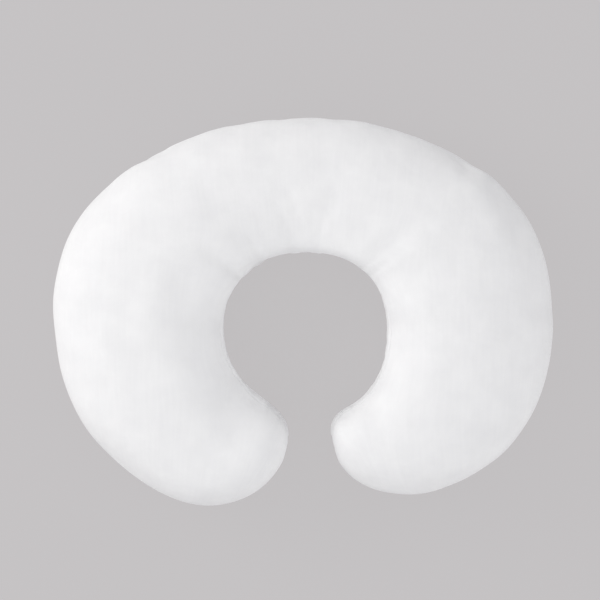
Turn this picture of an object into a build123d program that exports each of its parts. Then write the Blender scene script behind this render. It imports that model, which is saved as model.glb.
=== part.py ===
"""Nursing pillow: a C-shaped, fibre-filled pillow in a removable zipped cover.

Millimetres, +Z up. The pillow lies on its flattened underside at Z = 0, with its mouth
towards -Y and its curved back towards +Y. The origin is under the middle of its outline.

From the outside in, the layers are the two cover panels, the two panels of the inner
casing and the fibre fill. The cover's outer seam carries a curved coil zip along the
back, below the widest part of the wall, so that it is hidden from above.
"""

import os
from math import asin, cos, degrees, radians, sin, tan

from build123d import *

os.makedirs("parts", exist_ok=True)

# ---------------------------------------------------------------- driving dimensions
# Outline on plan: the back is one arc, the arms' sides are upright lines.
HALF_WIDTH = 260.0
BACK_EDGE = 201.3
LEFT_TIP_EDGE, RIGHT_TIP_EDGE = -201.3, -190.8
BACK_RADIUS, BACK_HALF_ANGLE = 355.0, 28.0
BACK_MIDDLE_X = 4.0
SHOULDER_RADII = (165.0, 182.0)  # right and left
ARM_RADII = (154.0, 177.0)  # right and left
WAIST_CENTRE, WAIST_RADIUS = (4.0, -24.5), 85.5
GAP_EDGES = (-14.6, 32.2)  # the mouth, between the two rounded tips
TIP_CORNER = 55.0  # corner radius of the rounded tips on plan

GAP_CUT_PAST = 10.0  # how far each tip's blank reaches into the mouth before it is cut

HEIGHT = 136.0
EDGE_ROUND = 48.0  # how far the edges above and below are rounded off
CUT_PAST = 10.0  # how far a cutting shape reaches past what it cuts

COVER_THICKNESS = 1.0
CASING_DEPTH = 3.8  # from the cover's outer face to the inner casing's outer face
CASING_THICKNESS = 0.8
FILL_DEPTH = 4.8

# The cover's seam runs high round the waist and low round the outside.
SEAM_INNER_Z, SEAM_OUTER_Z = 92.0, 28.0
SEAM_RAMP = (106.0, 205.0)  # radii between which it comes down, round the tips
CASING_SEAM_Z = 68.0

# The zip, in the wall's own directions at the seam: n outwards and t up along the wall.
ZIP_HALF_ANGLE = 22.0  # of the coils' arc, each side of the middle of the back
SLIT_HALF_WIDTH, SLIT_DEPTH = 5.6, 24.0
SLIT_END = 4.0  # length of slit past the coils at each end
TAPE_DEPTHS = (-1.5, -2.0)
TAPE_EDGES = (0.8, 14.0)
TAPE_END = 9.0  # length of tape past the coils at each end
COIL_EDGES = (0.7, 2.8)
COIL_DEPTHS = (0.6, -1.4)
COIL_CORNER = 0.6
CORE_RADIUS, CORE_GAP = 0.5, 0.05
STOP_LENGTH, STOP_GAP = 3.0, 0.4  # the gap is from the coils' ends
STOP_CORNER = 0.3
TOP_STOP_EDGES, BOTTOM_STOP_EDGE = (0.7, 3.4), 2.6
STITCH_EDGES = (7.9, 8.4)
STITCH_DEPTHS = (0.35, 0.05)

# The slider, x along the zip towards its open end.
SLIDER_NOSE, SLIDER_SHOULDER, SLIDER_TAIL = -5.5, -3.2, 6.0
SLIDER_HALF_WIDTHS = (2.2, 4.5, 3.9)  # at the nose, shoulder and tail
SLIDER_PLATES = ((0.9, 1.9), (-3.3, -2.5))
SLIDER_CORNER = 0.8
SLIDER_CHANNEL = 3.15  # half the width between the front plate's two flanges
SLIDER_FLANGE_BACK = -1.2
SLIDER_END_GAP = 0.5  # left to the coils' ends at both ends of its travel
BRIDGE_ENDS, BRIDGE_WIDTH = (-5.0, -2.6), 0.9
BAIL_ENDS, BAIL_TOP = (-2.6, 3.2), 5.0
BAIL_WALL, BAIL_WIDTH, BAIL_CORNER = 0.8, 1.8, 1.2

PIVOT_X, PIVOT_N = 0.3, 3.1  # the pull's crossbar in the slider's bail
PULL_THICKNESS, PULL_CORNER = 1.2, 0.9
PULL_EYE = (0.6, 5.2, 2.7)  # from and to, from the pivot, and width
PULL_WAIST_AT, PULL_LENGTH = 12.0, 27.0  # from the pivot
PULL_WIDTHS = (5.6, 4.2, 6.6)  # at the eye, waist and end
PULL_HOLE = (4.5, 2.0)

LABEL_DEPTHS = (0.6, 0.2)
LABEL_LENGTH = 22.0  # along the seam
LABEL_EDGES = (-31.0, -1.0)
LABEL_FROM_ZIP = 12.5
INNER_LABEL_DEPTHS = (-3.3, -3.7)
INNER_LABEL_EDGES = (-42.0, -17.0)
CLOSING_THREAD_RADIUS, CLOSING_THREAD_GAP = 0.3, 0.1
CLOSING_HALF_ANGLE = 12.0

# ---------------------------------------------------------------- worked-out places
BACK_CENTRE = (BACK_MIDDLE_X, BACK_EDGE - BACK_RADIUS)
ZIP_TILT = degrees(asin((EDGE_ROUND - SEAM_OUTER_Z) / EDGE_ROUND))
ZIP_RADIUS = BACK_RADIUS - EDGE_ROUND * (1 - cos(radians(ZIP_TILT)))
ZIP_AXIS = Axis((*BACK_CENTRE, 0), (0, 0, 1))
WAIST_AXIS = Axis((*WAIST_CENTRE, 0), (0, 0, 1))
ZIP_START, ZIP_ARC = 90.0 - ZIP_HALF_ANGLE, 2 * ZIP_HALF_ANGLE


# ---------------------------------------------------------------- shared geometry
def outline():
    """The pillow's outline, with its waist opening and mouth, as a sketch."""
    slope = tan(radians(BACK_HALF_ANGLE))
    apex = (BACK_MIDDLE_X, BACK_CENTRE[1] + BACK_RADIUS / cos(radians(BACK_HALF_ANGLE)))
    right_shoulder = (HALF_WIDTH, apex[1] - (HALF_WIDTH - BACK_MIDDLE_X) * slope)
    left_shoulder = (-HALF_WIDTH, apex[1] - (HALF_WIDTH + BACK_MIDDLE_X) * slope)
    corners = {
        apex: BACK_RADIUS,
        left_shoulder: SHOULDER_RADII[1],
        (-HALF_WIDTH, LEFT_TIP_EDGE): ARM_RADII[1],
        (GAP_EDGES[0] + GAP_CUT_PAST, LEFT_TIP_EDGE): 0,
        (GAP_EDGES[1] - GAP_CUT_PAST, RIGHT_TIP_EDGE): 0,
        (HALF_WIDTH, RIGHT_TIP_EDGE): ARM_RADII[0],
        right_shoulder: SHOULDER_RADII[0],
    }
    gap_width = GAP_EDGES[1] - GAP_EDGES[0]
    gap_middle = (GAP_EDGES[0] + GAP_EDGES[1]) / 2
    with BuildSketch() as sketch:
        with BuildLine():
            FilletPolyline(*corners, radius=corners.values(), close=True)
        make_face()
        with Locations(WAIST_CENTRE):
            Circle(WAIST_RADIUS, mode=Mode.SUBTRACT)
        with Locations((gap_middle, WAIST_CENTRE[1])):
            Rectangle(gap_width, HALF_WIDTH, align=(Align.CENTER, Align.MAX), mode=Mode.SUBTRACT)
        for edge in GAP_EDGES:
            along_gap = [v for v in sketch.vertices() if abs(v.X - edge) < 0.01]
            fillet(min(along_gap, key=lambda vertex: vertex.Y), TIP_CORNER)
    return sketch.sketch


def pillow_body(inset):
    """The pillow's solid, shrunk by inset all over."""
    with BuildPart() as body:
        with BuildSketch(Plane.XY.offset(inset)):
            add(outline())
            if inset:
                offset(amount=-inset)
        extrude(amount=HEIGHT - 2 * inset)
        fillet(body.faces().filter_by(Axis.Z).edges(), EDGE_ROUND - inset)
    return body.part


def wall_plane(angle):
    """Section plane of the zip: X is n, out of the wall, and Y is t, up along it."""
    a, tilt = radians(angle), radians(ZIP_TILT)
    origin = (
        BACK_CENTRE[0] + ZIP_RADIUS * cos(a),
        BACK_CENTRE[1] + ZIP_RADIUS * sin(a),
        SEAM_OUTER_Z,
    )
    outwards = (cos(tilt) * cos(a), cos(tilt) * sin(a), -sin(tilt))
    return Plane(origin, x_dir=outwards, z_dir=(sin(a), -cos(a), 0))


def degrees_for(length):
    """The angle that a length along the zip covers."""
    return degrees(length / ZIP_RADIUS)


def wall_strip(depths, edges, start, arc):
    """A strip that follows the wall, between two depths n and two edges t."""
    with BuildPart() as strip:
        with BuildSketch(wall_plane(start)):
            with Locations((-EDGE_ROUND, 0)):
                Circle(EDGE_ROUND + depths[0])
                Circle(EDGE_ROUND + depths[1], mode=Mode.SUBTRACT)
            with Locations((0, min(edges))):
                Rectangle(
                    EDGE_ROUND,
                    abs(edges[1] - edges[0]),
                    align=(Align.CENTER, Align.MIN),
                    mode=Mode.INTERSECT,
                )
        revolve(axis=ZIP_AXIS, revolution_arc=arc)
    return strip.part


def block_strip(depths, edges, start, arc, rounded=STOP_CORNER, bore=0.0):
    """A straight-sided bar along the zip, with its edges rounded, and bored if asked."""
    width, height = abs(depths[1] - depths[0]), abs(edges[1] - edges[0])
    with BuildPart() as bar:
        with BuildSketch(wall_plane(start)):
            with Locations((sum(depths) / 2, sum(edges) / 2)):
                RectangleRounded(width, height, rounded)
                if bore:
                    Circle(bore, mode=Mode.SUBTRACT)
        revolve(axis=ZIP_AXIS, revolution_arc=arc)
    return bar.part


def export(part, name):
    part.label = name
    export_step(part, f"parts/{name}.step")


# ---------------------------------------------------------------- cover
cover_outside = pillow_body(0)
cover_inside = pillow_body(COVER_THICKNESS)

# Everything below the cover's seam, a turned shape about the waist's centre.
with BuildPart() as below_seam:
    with BuildSketch(Plane((*WAIST_CENTRE, 0), x_dir=(1, 0, 0), z_dir=(0, -1, 0))):
        with BuildLine():
            ramp_top, ramp_foot = (SEAM_RAMP[0], SEAM_INNER_Z), (SEAM_RAMP[1], SEAM_OUTER_Z)
            outside = HALF_WIDTH + BACK_MIDDLE_X + CUT_PAST
            Polyline((0, -CUT_PAST), (0, SEAM_INNER_Z), ramp_top)
            Spline(ramp_top, ramp_foot, tangents=[(1, 0), (1, 0)])
            Polyline(ramp_foot, (outside, SEAM_OUTER_Z), (outside, -CUT_PAST), (0, -CUT_PAST))
        make_face()
    revolve(axis=WAIST_AXIS)

# The slit in the seam that the zip fills.
with BuildPart() as zip_slit:
    with BuildSketch(wall_plane(ZIP_START - degrees_for(SLIT_END))):
        Rectangle(SLIT_DEPTH, 2 * SLIT_HALF_WIDTH)
    revolve(axis=ZIP_AXIS, revolution_arc=ZIP_ARC + 2 * degrees_for(SLIT_END))

with BuildPart() as cover_top_panel:
    add(cover_outside)
    add(cover_inside, mode=Mode.SUBTRACT)
    add(below_seam.part, mode=Mode.SUBTRACT)
    add(zip_slit.part, mode=Mode.SUBTRACT)

with BuildPart() as cover_bottom_panel:
    add(cover_outside)
    add(cover_inside, mode=Mode.SUBTRACT)
    add(below_seam.part, mode=Mode.INTERSECT)
    add(zip_slit.part, mode=Mode.SUBTRACT)

care_label = wall_strip(
    LABEL_DEPTHS,
    LABEL_EDGES,
    ZIP_START + ZIP_ARC + degrees_for(LABEL_FROM_ZIP),
    degrees_for(LABEL_LENGTH),
)

export(cover_top_panel.part, "cover_top_panel")
export(cover_bottom_panel.part, "cover_bottom_panel")
export(care_label, "care_label")

# ---------------------------------------------------------------- inner pillow
casing_outside = pillow_body(CASING_DEPTH)
casing_inside = pillow_body(CASING_DEPTH + CASING_THICKNESS)
fibre_fill = pillow_body(FILL_DEPTH)

with BuildPart() as inner_casing_top:
    add(casing_outside)
    add(casing_inside, mode=Mode.SUBTRACT)
    split(bisect_by=Plane.XY.offset(CASING_SEAM_Z), keep=Keep.TOP)

with BuildPart() as inner_casing_bottom:
    add(casing_outside)
    add(casing_inside, mode=Mode.SUBTRACT)
    split(bisect_by=Plane.XY.offset(CASING_SEAM_Z), keep=Keep.BOTTOM)

# The thread that closes the seam through which the casing was filled.
closing_start = radians(90.0 - CLOSING_HALF_ANGLE)
closing_radius = BACK_RADIUS - CASING_DEPTH + CLOSING_THREAD_RADIUS + CLOSING_THREAD_GAP
with BuildPart() as casing_closing_thread:
    closing_plane = Plane(
        (
            BACK_CENTRE[0] + closing_radius * cos(closing_start),
            BACK_CENTRE[1] + closing_radius * sin(closing_start),
            CASING_SEAM_Z,
        ),
        x_dir=(cos(closing_start), sin(closing_start), 0),
        z_dir=(sin(closing_start), -cos(closing_start), 0),
    )
    with BuildSketch(closing_plane):
        Circle(CLOSING_THREAD_RADIUS)
    revolve(axis=ZIP_AXIS, revolution_arc=2 * CLOSING_HALF_ANGLE)

inner_label = wall_strip(
    INNER_LABEL_DEPTHS,
    INNER_LABEL_EDGES,
    ZIP_START + degrees_for(TAPE_END),
    degrees_for(LABEL_LENGTH),
)

export(inner_casing_top.part, "inner_casing_top")
export(inner_casing_bottom.part, "inner_casing_bottom")
export(fibre_fill, "fibre_fill")
export(casing_closing_thread.part, "casing_closing_thread")
export(inner_label, "inner_label")

# ---------------------------------------------------------------- zip
tape_start = ZIP_START - degrees_for(TAPE_END)
tape_arc = ZIP_ARC + 2 * degrees_for(TAPE_END)
coil_middle = (sum(COIL_DEPTHS) / 2, sum(COIL_EDGES) / 2)
for side, name in ((1, "upper"), (-1, "lower")):
    tape_edges = (side * TAPE_EDGES[0], side * TAPE_EDGES[1])
    coil_edges = (side * COIL_EDGES[0], side * COIL_EDGES[1])
    stitch_edges = (side * STITCH_EDGES[0], side * STITCH_EDGES[1])
    export(wall_strip(TAPE_DEPTHS, tape_edges, tape_start, tape_arc), f"zip_tape_{name}")
    coil = block_strip(COIL_DEPTHS, coil_edges, ZIP_START, ZIP_ARC, COIL_CORNER, CORE_RADIUS)
    export(coil, f"zip_coil_{name}")
    with BuildPart() as core:
        with BuildSketch(wall_plane(ZIP_START)):
            with Locations((coil_middle[0], side * coil_middle[1])):
                Circle(CORE_RADIUS - CORE_GAP)
        revolve(axis=ZIP_AXIS, revolution_arc=ZIP_ARC)
    export(core.part, f"zip_coil_core_{name}")
    export(wall_strip(STITCH_DEPTHS, stitch_edges, tape_start, tape_arc), f"zip_stitching_{name}")

top_stop_start = ZIP_START - degrees_for(STOP_GAP + STOP_LENGTH)
with BuildPart() as zip_top_stops:
    for side in (1, -1):
        edges = (side * TOP_STOP_EDGES[0], side * TOP_STOP_EDGES[1])
        add(block_strip(COIL_DEPTHS, edges, top_stop_start, degrees_for(STOP_LENGTH)))

zip_bottom_stop = block_strip(
    COIL_DEPTHS,
    (-BOTTOM_STOP_EDGE, BOTTOM_STOP_EDGE),
    ZIP_START + ZIP_ARC + degrees_for(STOP_GAP),
    degrees_for(STOP_LENGTH),
)

export(zip_top_stops.part, "zip_top_stops")
export(zip_bottom_stop, "zip_bottom_stop")

# ---------------------------------------------------------------- slider and pull
# The slider stands at the closed end. Its plane's X is along the zip, Y is t and Z is n.
slider_angle = ZIP_START + degrees_for(SLIDER_END_GAP - SLIDER_NOSE)
slider_travel = ZIP_ARC - degrees_for(2 * SLIDER_END_GAP - SLIDER_NOSE + SLIDER_TAIL)
section = wall_plane(slider_angle)
slider_plane = Plane(section.origin, x_dir=-section.z_dir, z_dir=section.x_dir)
bail_plane = Plane(section.origin, x_dir=-section.z_dir, z_dir=-section.y_dir)


def slider_outline():
    """The outline of the slider's two plates."""
    nose, shoulder, tail = SLIDER_HALF_WIDTHS
    edge = [(SLIDER_NOSE, nose), (SLIDER_SHOULDER, shoulder), (SLIDER_TAIL, tail)]
    with BuildSketch(Plane.XY) as sketch:
        with BuildLine():
            Polyline(*edge, *[(x, -y) for x, y in reversed(edge)], close=True)
        make_face()
        fillet(sketch.vertices(), SLIDER_CORNER)
    return sketch.sketch


slider_length = 2 * (SLIDER_TAIL - SLIDER_NOSE)
with BuildPart() as zip_slider:
    for back, front in SLIDER_PLATES:
        with BuildSketch(slider_plane.offset(back)):
            add(slider_outline())
        extrude(amount=front - back)
    with BuildSketch(slider_plane.offset(SLIDER_FLANGE_BACK)):
        add(slider_outline())
        Rectangle(slider_length, 2 * SLIDER_CHANNEL, mode=Mode.SUBTRACT)
        with Locations((SLIDER_SHOULDER, 0)):
            behind_shoulder = (Align.MIN, Align.CENTER)
            Rectangle(slider_length, slider_length, align=behind_shoulder, mode=Mode.INTERSECT)
    extrude(amount=SLIDER_PLATES[0][0] - SLIDER_FLANGE_BACK)
    with BuildSketch(slider_plane.offset(SLIDER_PLATES[1][1])):
        with Locations((sum(BRIDGE_ENDS) / 2, 0)):
            SlotOverall(BRIDGE_ENDS[1] - BRIDGE_ENDS[0], BRIDGE_WIDTH)
    extrude(amount=SLIDER_PLATES[0][0] - SLIDER_PLATES[1][1])
    with BuildSketch(bail_plane):
        bail_length, bail_height = BAIL_ENDS[1] - BAIL_ENDS[0], BAIL_TOP - SLIDER_PLATES[0][1]
        bail_middle = (sum(BAIL_ENDS) / 2, SLIDER_PLATES[0][1])
        low = (Align.CENTER, Align.MIN)
        with Locations(bail_middle):
            arch = Rectangle(bail_length, bail_height, align=low)
        fillet(arch.vertices().group_by(Axis.Y)[-1], BAIL_CORNER)
        with Locations(bail_middle):
            eye_length, eye_height = bail_length - 2 * BAIL_WALL, bail_height - BAIL_WALL
            Rectangle(eye_length, eye_height, align=low, mode=Mode.SUBTRACT)
    extrude(amount=BAIL_WIDTH / 2, both=True)

with BuildPart() as zip_pull:
    eye_width, waist_width, end_width = PULL_WIDTHS
    with BuildSketch(slider_plane.offset(PIVOT_N)):
        with BuildLine():
            half = [
                (PIVOT_X - PULL_THICKNESS / 2, eye_width / 2),
                (PIVOT_X + PULL_EYE[1], eye_width / 2),
                (PIVOT_X + PULL_WAIST_AT, waist_width / 2),
                (PIVOT_X + PULL_LENGTH, end_width / 2),
            ]
            Polyline(*half, *[(x, -y) for x, y in reversed(half)], close=True)
        pull_face = make_face()
        fillet(pull_face.vertices(), PULL_CORNER)
        with Locations((PIVOT_X + sum(PULL_EYE[:2]) / 2, 0)):
            Rectangle(PULL_EYE[1] - PULL_EYE[0], PULL_EYE[2], mode=Mode.SUBTRACT)
        with Locations((PIVOT_X + PULL_LENGTH - PULL_HOLE[0], 0)):
            SlotOverall(*PULL_HOLE, mode=Mode.SUBTRACT)
    extrude(amount=PULL_THICKNESS / 2, both=True)

export(zip_slider.part, "zip_slider")
export(zip_pull.part, "zip_pull")

pivot = slider_plane.from_local_coords((PIVOT_X, 0, PIVOT_N))
print("zip axis", BACK_CENTRE, "slider angle", slider_angle, "travel", slider_travel)
print("pull pivot", pivot, "pull axis", section.y_dir)
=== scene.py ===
"""Nursing pillow: its looks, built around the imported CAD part.

The stuffed body is one closed skin, worked out as rings round the C-shaped body. A cloth
simulation swells it, with the seams a little short so that they pucker. The swelled skin
is a smooth surface in two directions, along the body and round it, and every soft piece is
read from it: the cover's two panels with their sewn seam and the slit for the zip, the
labels, the inner casing and the filling. The zip stays where the CAD part has it.
+Z is up. The shape's own numbers are in millimetres, and Blender's are in metres.
"""

import math

import bpy
import numpy as np
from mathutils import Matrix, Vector


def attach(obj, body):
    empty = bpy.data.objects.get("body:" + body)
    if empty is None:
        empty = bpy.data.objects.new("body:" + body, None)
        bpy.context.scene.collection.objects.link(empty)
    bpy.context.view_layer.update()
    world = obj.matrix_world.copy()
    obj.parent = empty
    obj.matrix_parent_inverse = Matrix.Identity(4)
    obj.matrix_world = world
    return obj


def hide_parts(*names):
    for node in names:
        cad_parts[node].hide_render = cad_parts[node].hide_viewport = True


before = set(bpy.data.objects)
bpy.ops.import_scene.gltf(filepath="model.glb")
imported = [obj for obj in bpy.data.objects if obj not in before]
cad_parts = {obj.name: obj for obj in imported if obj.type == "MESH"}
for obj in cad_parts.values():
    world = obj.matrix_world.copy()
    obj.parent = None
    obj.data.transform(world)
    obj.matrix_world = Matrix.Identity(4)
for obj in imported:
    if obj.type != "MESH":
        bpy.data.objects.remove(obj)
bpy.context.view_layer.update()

MM = 0.001
PILLOW = "pillow"
FULL_TURN = 2 * math.pi
PAST_TIP = 0.9  # rows of the surface that are read beyond a tip's seam
TINY = 1e-9  # keeps a division by nothing from failing

# ---------------------------------------------------------------- driving dimensions, mm
WAIST = np.array([4.0, -19.0])  # the outline is given round this point
# The outline on plan, as (degrees anticlockwise from +X, radius).
OUTER_EDGE = [
    (-75.2, 139), (-70, 166.5), (-60, 195), (-44, 225), (-24, 247.5), (4, 256.3), (22, 258.4),
    (36, 252.6), (44, 244.6), (62, 230.4), (90, 221), (112, 226.6), (135, 244.5), (152, 260.8),
    (168, 263.8), (184, 259), (203, 250.8), (222, 231), (235, 217), (244, 199.5), (251, 179.8),
    (256, 159.5), (259.9, 134),
]
INNER_EDGE = [
    (-75.6, 108), (-73, 98.5), (-66, 91.8), (-55, 90.6), (-26, 86.2), (20, 84.9), (48, 84.7),
    (70, 82), (93, 79.8), (120, 82.4), (160, 86.9), (200, 83.8), (225, 83.2), (243, 84.8),
    (254, 92.5), (259.6, 106),
]
TIPS = ((-76.2, 124.0), (260.7, 120.0))  # right and left
# By degrees round the waist: the middle of the section, half its height, how far its crown
# leans in towards the waist, how square it is from there to the waist, and its waist seam's height.
SECTIONS = [
    (-76, 62, 66, 2, 2.25, 84), (-55, 62, 67, 3, 2.25, 86), (-30, 64.5, 70, 4, 2.25, 88),
    (10, 65, 71, 6, 2.6, 89), (50, 60, 66, 12, 4.6, 95), (90, 57, 62.5, 17, 7.0, 101),
    (130, 60.5, 66.5, 12, 4.6, 95), (170, 65.5, 71.5, 5, 2.5, 90), (205, 66, 72, 0, 2.25, 89),
    (235, 63, 68, -6, 2.25, 86), (261, 62, 66, -2, 2.25, 84),
]
TIP_FULL_WIDTH, TIP_DROP = 120.0, 1.6  # a narrower section is lower too
UPPER_POWER, LOWER_POWER = 2.25, 2.55  # outside and below: 2 is an ellipse, and more is squarer
TIP_SEAM_EASE = 0.7  # below 1, the outer seam climbs late towards the tips
FLOOR_SOFTNESS, FLOOR_SINK = 5.0, 0.45
OUTER_SEAM_Z = 28.0
TIP_SEAM_HALF = 44.0  # half the seam's run over each tip

# The back wall and the zip, as the CAD part has them.
BACK_CENTRE = np.array([4.0, -153.7])
BACK_RADIUS, EDGE_ROUND = 355.0, 48.0
SEAM_TILT = math.asin((EDGE_ROUND - OUTER_SEAM_Z) / EDGE_ROUND)
ZIP_RADIUS = BACK_RADIUS - EDGE_ROUND * (1 - math.cos(SEAM_TILT))
ZIP_HALF_ANGLE = 22.0
SLIT_HALF_WIDTH, SLIT_END, SLIT_TAPER = 5.2, 4.0, 6.0
SLIT_TURNED = 0.4  # the slit's edges are wholly turned where it is open by this share
SLIT_GATHER = 46.0  # width of fabric that makes room for the slit
WALL_FULL, WALL_GONE = (24.5, 17.0), (31.0, 42.0)  # degrees along and mm across

COARSE_STEP, FINE_STEP = 6.0, 2.9
HALF_ROUND = 228.0  # nominal fabric from seam to seam, over or under
QUARTER = 360  # samples in a quarter of a section
SEAM_STEPS = (0.0, 0.7, 1.4, 2.2, 3.2, 4.5, 6.2, 8.4)
COVER_THICKNESS = 1.0
CASING_DEPTH, CASING_THICKNESS, FILL_DEPTH = 3.8, 0.8, 5.4
TUFT_HEIGHT, TUFT_SIZE = 0.5, 16
SWELL_INSET, SWELL_CAP, SWELL_FRAMES = 1.6, 7.0, 20
WAIST_SEAM_SHARE = 0.35  # the waist's seam is stretched, so it puckers less than the outer one
PIN_LEAST = 0.05  # points that follow the CAD wall by less than this aren't pinned
OUTLINE_BLUR = 2  # rows on either side over which a change of the outline is spread


# ---------------------------------------------------------------- curves
def spline_through(points, closed=False, samples=4000):
    """A cubic spline through points, on chord length, sampled closely."""
    pts = np.asarray(points, float)
    if closed:
        pts = np.vstack([pts, pts[:1]])
    gaps = np.linalg.norm(np.diff(pts, axis=0), axis=1)
    knots = np.concatenate([[0], np.cumsum(gaps)])
    count = len(pts)
    matrix, right = np.zeros((count, count)), np.zeros((count, pts.shape[1]))
    slopes = np.diff(pts, axis=0) / gaps[:, None]
    for i in range(1, count - 1):
        matrix[i, i - 1 : i + 2] = gaps[i - 1], 2 * (gaps[i - 1] + gaps[i]), gaps[i]
        right[i] = 6 * (slopes[i] - slopes[i - 1])
    matrix[0, 0] = matrix[-1, -1] = 1
    if closed:
        matrix[0, -1] = -1
        matrix[-1] = 0
        matrix[-1, :2] = 2 * gaps[0], gaps[0]
        matrix[-1, -2:] += gaps[-1], 2 * gaps[-1]
        right[-1] = 6 * (slopes[0] - slopes[-1])
    curve = np.linalg.solve(matrix, right)
    at = np.linspace(0, knots[-1], samples)
    k = np.clip(np.searchsorted(knots, at) - 1, 0, count - 2)
    before, ahead, gap = (at - knots[k])[:, None], (knots[k + 1] - at)[:, None], gaps[k][:, None]
    return (
        curve[k] * ahead**3 / (6 * gap)
        + curve[k + 1] * before**3 / (6 * gap)
        + (pts[k] / gap - curve[k] * gap / 6) * ahead
        + (pts[k + 1] / gap - curve[k + 1] * gap / 6) * before
    )


def smooth_step(value, gone, full):
    """0 at gone, 1 at full, and smooth between."""
    part = np.clip((value - gone) / (full - gone), 0, 1)
    return part * part * (3 - 2 * part)


def above_floor(z, softness):
    """Heights, with those near or below the floor brought softly to it."""
    return 0.5 * (z + np.sqrt(z * z + softness**2))


def wave_noise(x, y, size, seed, waves=7, usual_peak=3.2):
    """Smooth noise of about -1 to 1, from a few sine waves of about one size."""
    rng = np.random.default_rng(seed)
    total = 0
    for _ in range(waves):
        turn, phase = rng.uniform(0, FULL_TURN, 2)
        pitch = size * rng.uniform(0.7, 1.6)
        total = total + np.sin(FULL_TURN * (x * math.cos(turn) + y * math.sin(turn)) / pitch + phase)
    return total / usual_peak


# ---------------------------------------------------------------- the body's sections
def edges_round_waist(samples=3000):
    """Angles from tip to tip, close together at the tips, with the inner and outer radii."""
    listed = [TIPS[0], *OUTER_EDGE, TIPS[1], *reversed(INNER_EDGE)]
    points = [(r * math.cos(math.radians(a)), r * math.sin(math.radians(a))) for a, r in listed]
    dense = spline_through(points, closed=True)
    angle = np.degrees(np.unwrap(np.arctan2(dense[:, 1], dense[:, 0])))
    radius = np.linalg.norm(dense, axis=1)
    low, high = int(np.argmin(angle)), int(np.argmax(angle))
    turn = np.roll(np.arange(len(angle)), -low)
    split = (high - low) % len(turn)
    outer, inner = turn[: split + 1], turn[split:][::-1]
    share = 0.5 - 0.5 * np.cos(np.linspace(0, math.pi, samples))
    at = angle[low] + (angle[high] - angle[low]) * share
    r_outer = np.interp(at, angle[outer], radius[outer])
    r_inner = np.interp(at, angle[inner], radius[inner])
    r_outer[0] = r_inner[0] = radius[low]
    r_outer[-1] = r_inner[-1] = radius[high]
    return at, r_inner, r_outer


ANGLES, R_INNER, R_OUTER = edges_round_waist()
HALF_CHORD, MID_RADIUS = (R_OUTER - R_INNER) / 2, (R_OUTER + R_INNER) / 2
STEPS_ALONG = np.hypot(np.diff(HALF_CHORD), MID_RADIUS[1:] * np.radians(np.diff(ANGLES)))
ALONG = np.concatenate([[0], np.cumsum(STEPS_ALONG)])  # fabric from the right tip
LENGTH = ALONG[-1]


def section(row_angle, chord, middle, sizes, columns):
    """One ring: points from the inner seam over the top to the outer seam and back underneath."""
    z_middle, half_height, lean, inner_power, seam_z = sizes
    # The turn runs from the outer edge underneath to the inner edge and over the top.
    turn = np.linspace(-math.pi, math.pi, 4 * QUARTER + 1)
    power = np.where(turn > 0, np.where(turn < math.pi / 2, inner_power, UPPER_POWER), LOWER_POWER)
    across = -np.sign(np.cos(turn)) * np.abs(np.cos(turn)) ** (2 / power)
    up = np.sign(np.sin(turn)) * np.abs(np.sin(turn)) ** (2 / power)
    r, z = chord * across - lean * np.clip(up, 0, 1) ** 2, z_middle + half_height * up
    r = middle + chord * (2 * (r - r.min()) / max(np.ptp(r), TINY) - 1)
    z = above_floor(z, FLOOR_SOFTNESS) - FLOOR_SINK
    measure = np.concatenate([[0], np.cumsum(np.hypot(np.diff(r), np.diff(z)))])
    whole = measure[-1]
    share = half_height / max(z_middle, 1)
    inner_z = z_middle + (seam_z - z_middle) * min(1, share)
    outer_z = z_middle - (z_middle - OUTER_SEAM_Z) * min(1, share) ** TIP_SEAM_EASE
    waist_side, outside = slice(2 * QUARTER, 3 * QUARTER + 1), slice(0, QUARTER + 1)
    inner_seam = np.interp(inner_z, z[waist_side], measure[waist_side])
    outer_seam = np.interp(-outer_z, -z[outside], measure[outside])
    half = columns // 2
    top = inner_seam + (outer_seam + whole - inner_seam) * np.arange(half) / half
    under = outer_seam + (inner_seam - outer_seam) * np.arange(half + 1) / half
    stations = np.concatenate([top, under]) % max(whole, TINY)
    stations[half] = outer_seam
    rr, polar = np.interp(stations, measure, r), math.radians(row_angle)
    xy = WAIST + rr[:, None] * np.array([math.cos(polar), math.sin(polar)])
    return np.column_stack([xy, np.interp(stations, measure, z)])


def section_table(rows=500, columns=360):
    """Rings all along the body."""
    at = np.linspace(0, LENGTH, rows)
    angle, chord = np.interp(at, ALONG, ANGLES), np.interp(at, ALONG, HALF_CHORD)
    middle = np.interp(at, ALONG, MID_RADIUS)
    heights = spline_through(SECTIONS, samples=800)
    sizes = np.array([np.interp(angle, heights[:, 0], column) for column in heights.T[1:]])
    sizes[1:3] *= 1 - (1 - np.clip(2 * chord / TIP_FULL_WIDTH, 0, 1)) ** TIP_DROP
    ring = zip(angle, chord, middle, sizes.T)
    return np.array([section(*values, columns) for values in ring])


def read_table(table, along, turn):
    """Points of the body at mm along it and at a turn from 0 to 2 pi round it."""
    rows, columns = table.shape[0] - 1, table.shape[1] - 1
    row, column = np.clip(along / LENGTH, 0, 1) * rows, (turn % FULL_TURN) / FULL_TURN * columns
    i, j = np.minimum(row.astype(int), rows - 1), np.minimum(column.astype(int), columns - 1)
    down, right = (row - i)[..., None], (column - j)[..., None]
    near = (1 - down) * table[i, j] + down * table[i + 1, j]
    return (1 - right) * near + right * ((1 - down) * table[i, j + 1] + down * table[i + 1, j + 1])


ROWS, COLUMNS = round(LENGTH / COARSE_STEP), 2 * round(HALF_ROUND / COARSE_STEP)
HALF = COLUMNS // 2
ROW_STEP, COLUMN_STEP = LENGTH / ROWS, HALF_ROUND / HALF


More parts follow.
